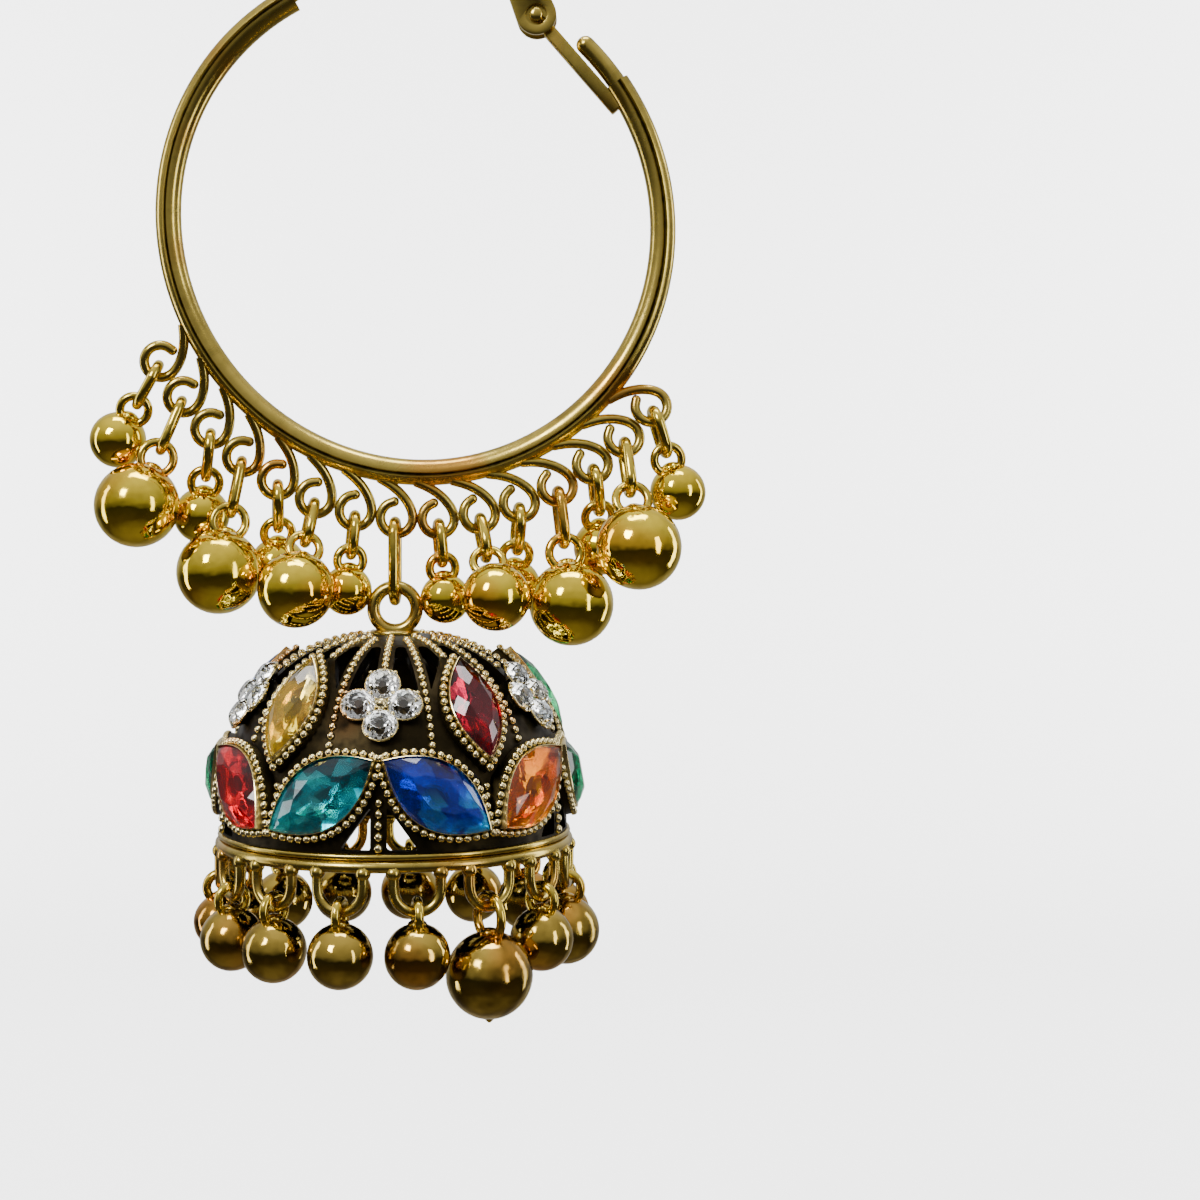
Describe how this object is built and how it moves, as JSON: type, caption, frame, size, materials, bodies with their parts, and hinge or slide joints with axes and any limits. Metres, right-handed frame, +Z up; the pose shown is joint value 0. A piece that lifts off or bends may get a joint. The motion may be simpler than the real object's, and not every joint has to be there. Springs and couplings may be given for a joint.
{
  "type": "jhumka earring",
  "caption": "Hoop earring with a latch-back clasp, a fringe of gold ball drops and a pierced, beaded bell set with coloured marquise stones and clear crystals.",
  "frame": {"origin": "highest point of the ear wire's centre line, where the earring hangs in the ear", "axes": "+Z up, -Y the front that faces the viewer, +X to the viewer's right, towards the clasp; the hoop lies in the XZ plane"},
  "size_m": [0.057, 0.0371, 0.1019],
  "materials": {
    "antique_gold": "antique gold plating, dark in the recesses",
    "polished_gold": "bright gold plating, slightly crinkled",
    "clear_crystal": "clear, cut and polished",
    "teal_stone": "foil-backed, cut and polished",
    "sapphire_stone": "foil-backed, cut and polished",
    "orange_stone": "foil-backed, cut and polished",
    "emerald_stone": "foil-backed, cut and polished",
    "garnet_stone": "foil-backed, cut and polished",
    "amber_stone": "foil-backed, cut and polished",
    "red_stone": "foil-backed, cut and polished",
    "crimson_stone": "foil-backed, cut and polished",
    "green_stone": "foil-backed, cut and polished",
    "pale_yellow_stone": "foil-backed, cut and polished"
  },
  "bodies": {
    "hoop": {"hoop_frame": "antique_gold", "hoop_drop_01": "polished_gold", "hoop_drop_02": "polished_gold", "hoop_drop_03": "polished_gold", "hoop_drop_04": "polished_gold", "hoop_drop_05": "polished_gold", "hoop_drop_06": "polished_gold", "hoop_drop_07": "polished_gold", "hoop_drop_09": "polished_gold", "hoop_drop_10": "polished_gold", "hoop_drop_11": "polished_gold", "hoop_drop_12": "polished_gold", "hoop_drop_13": "polished_gold", "hoop_drop_14": "polished_gold", "hoop_drop_15": "polished_gold"},
    "lever": {"latch_lever": "antique_gold"},
    "link": {"pendant_link": "polished_gold"},
    "jhumka": {"dome": "antique_gold", "lower_stone_01": "teal_stone", "lower_stone_02": "sapphire_stone", "lower_stone_03": "orange_stone", "lower_stone_04": "emerald_stone", "lower_stone_05": "garnet_stone", "lower_stone_06": "sapphire_stone", "lower_stone_07": "teal_stone", "lower_stone_08": "amber_stone", "lower_stone_09": "emerald_stone", "lower_stone_10": "red_stone", "upper_stone_01": "crimson_stone", "upper_stone_02": "green_stone", "upper_stone_03": "orange_stone", "upper_stone_04": "sapphire_stone", "upper_stone_05": "pale_yellow_stone", "crystal_cluster_1": "clear_crystal", "crystal_cluster_2": "clear_crystal", "crystal_cluster_3": "clear_crystal", "crystal_cluster_4": "clear_crystal", "crystal_cluster_5": "clear_crystal", "rim_drop_01": "polished_gold", "rim_drop_02": "polished_gold", "rim_drop_03": "polished_gold", "rim_drop_04": "polished_gold", "rim_drop_05": "polished_gold", "rim_drop_06": "polished_gold", "rim_drop_07": "polished_gold", "rim_drop_08": "polished_gold", "rim_drop_09": "polished_gold", "rim_drop_10": "polished_gold", "rim_drop_11": "polished_gold", "rim_drop_12": "polished_gold", "rim_drop_13": "polished_gold", "rim_drop_14": "polished_gold", "rim_drop_15": "polished_gold"}
  },
  "joints": [
    {"name": "latch_hinge", "type": "hinge", "parent": "hoop", "child": "lever", "pos_m": [0.00649, 0, -0.0121], "axis": [0, 1, 0], "range_deg": [0, 70]},
    {"name": "link_swing", "type": "hinge", "parent": "hoop", "child": "link", "pos_m": [-0.00661, 0, -0.0599], "axis": [1, 0, 0], "range_deg": [-25, 25]},
    {"name": "dome_swing", "type": "hinge", "parent": "link", "child": "jhumka", "pos_m": [-0.00661, 0, -0.06605], "axis": [0, 1, 0], "range_deg": [-5, 5]}
  ]
}
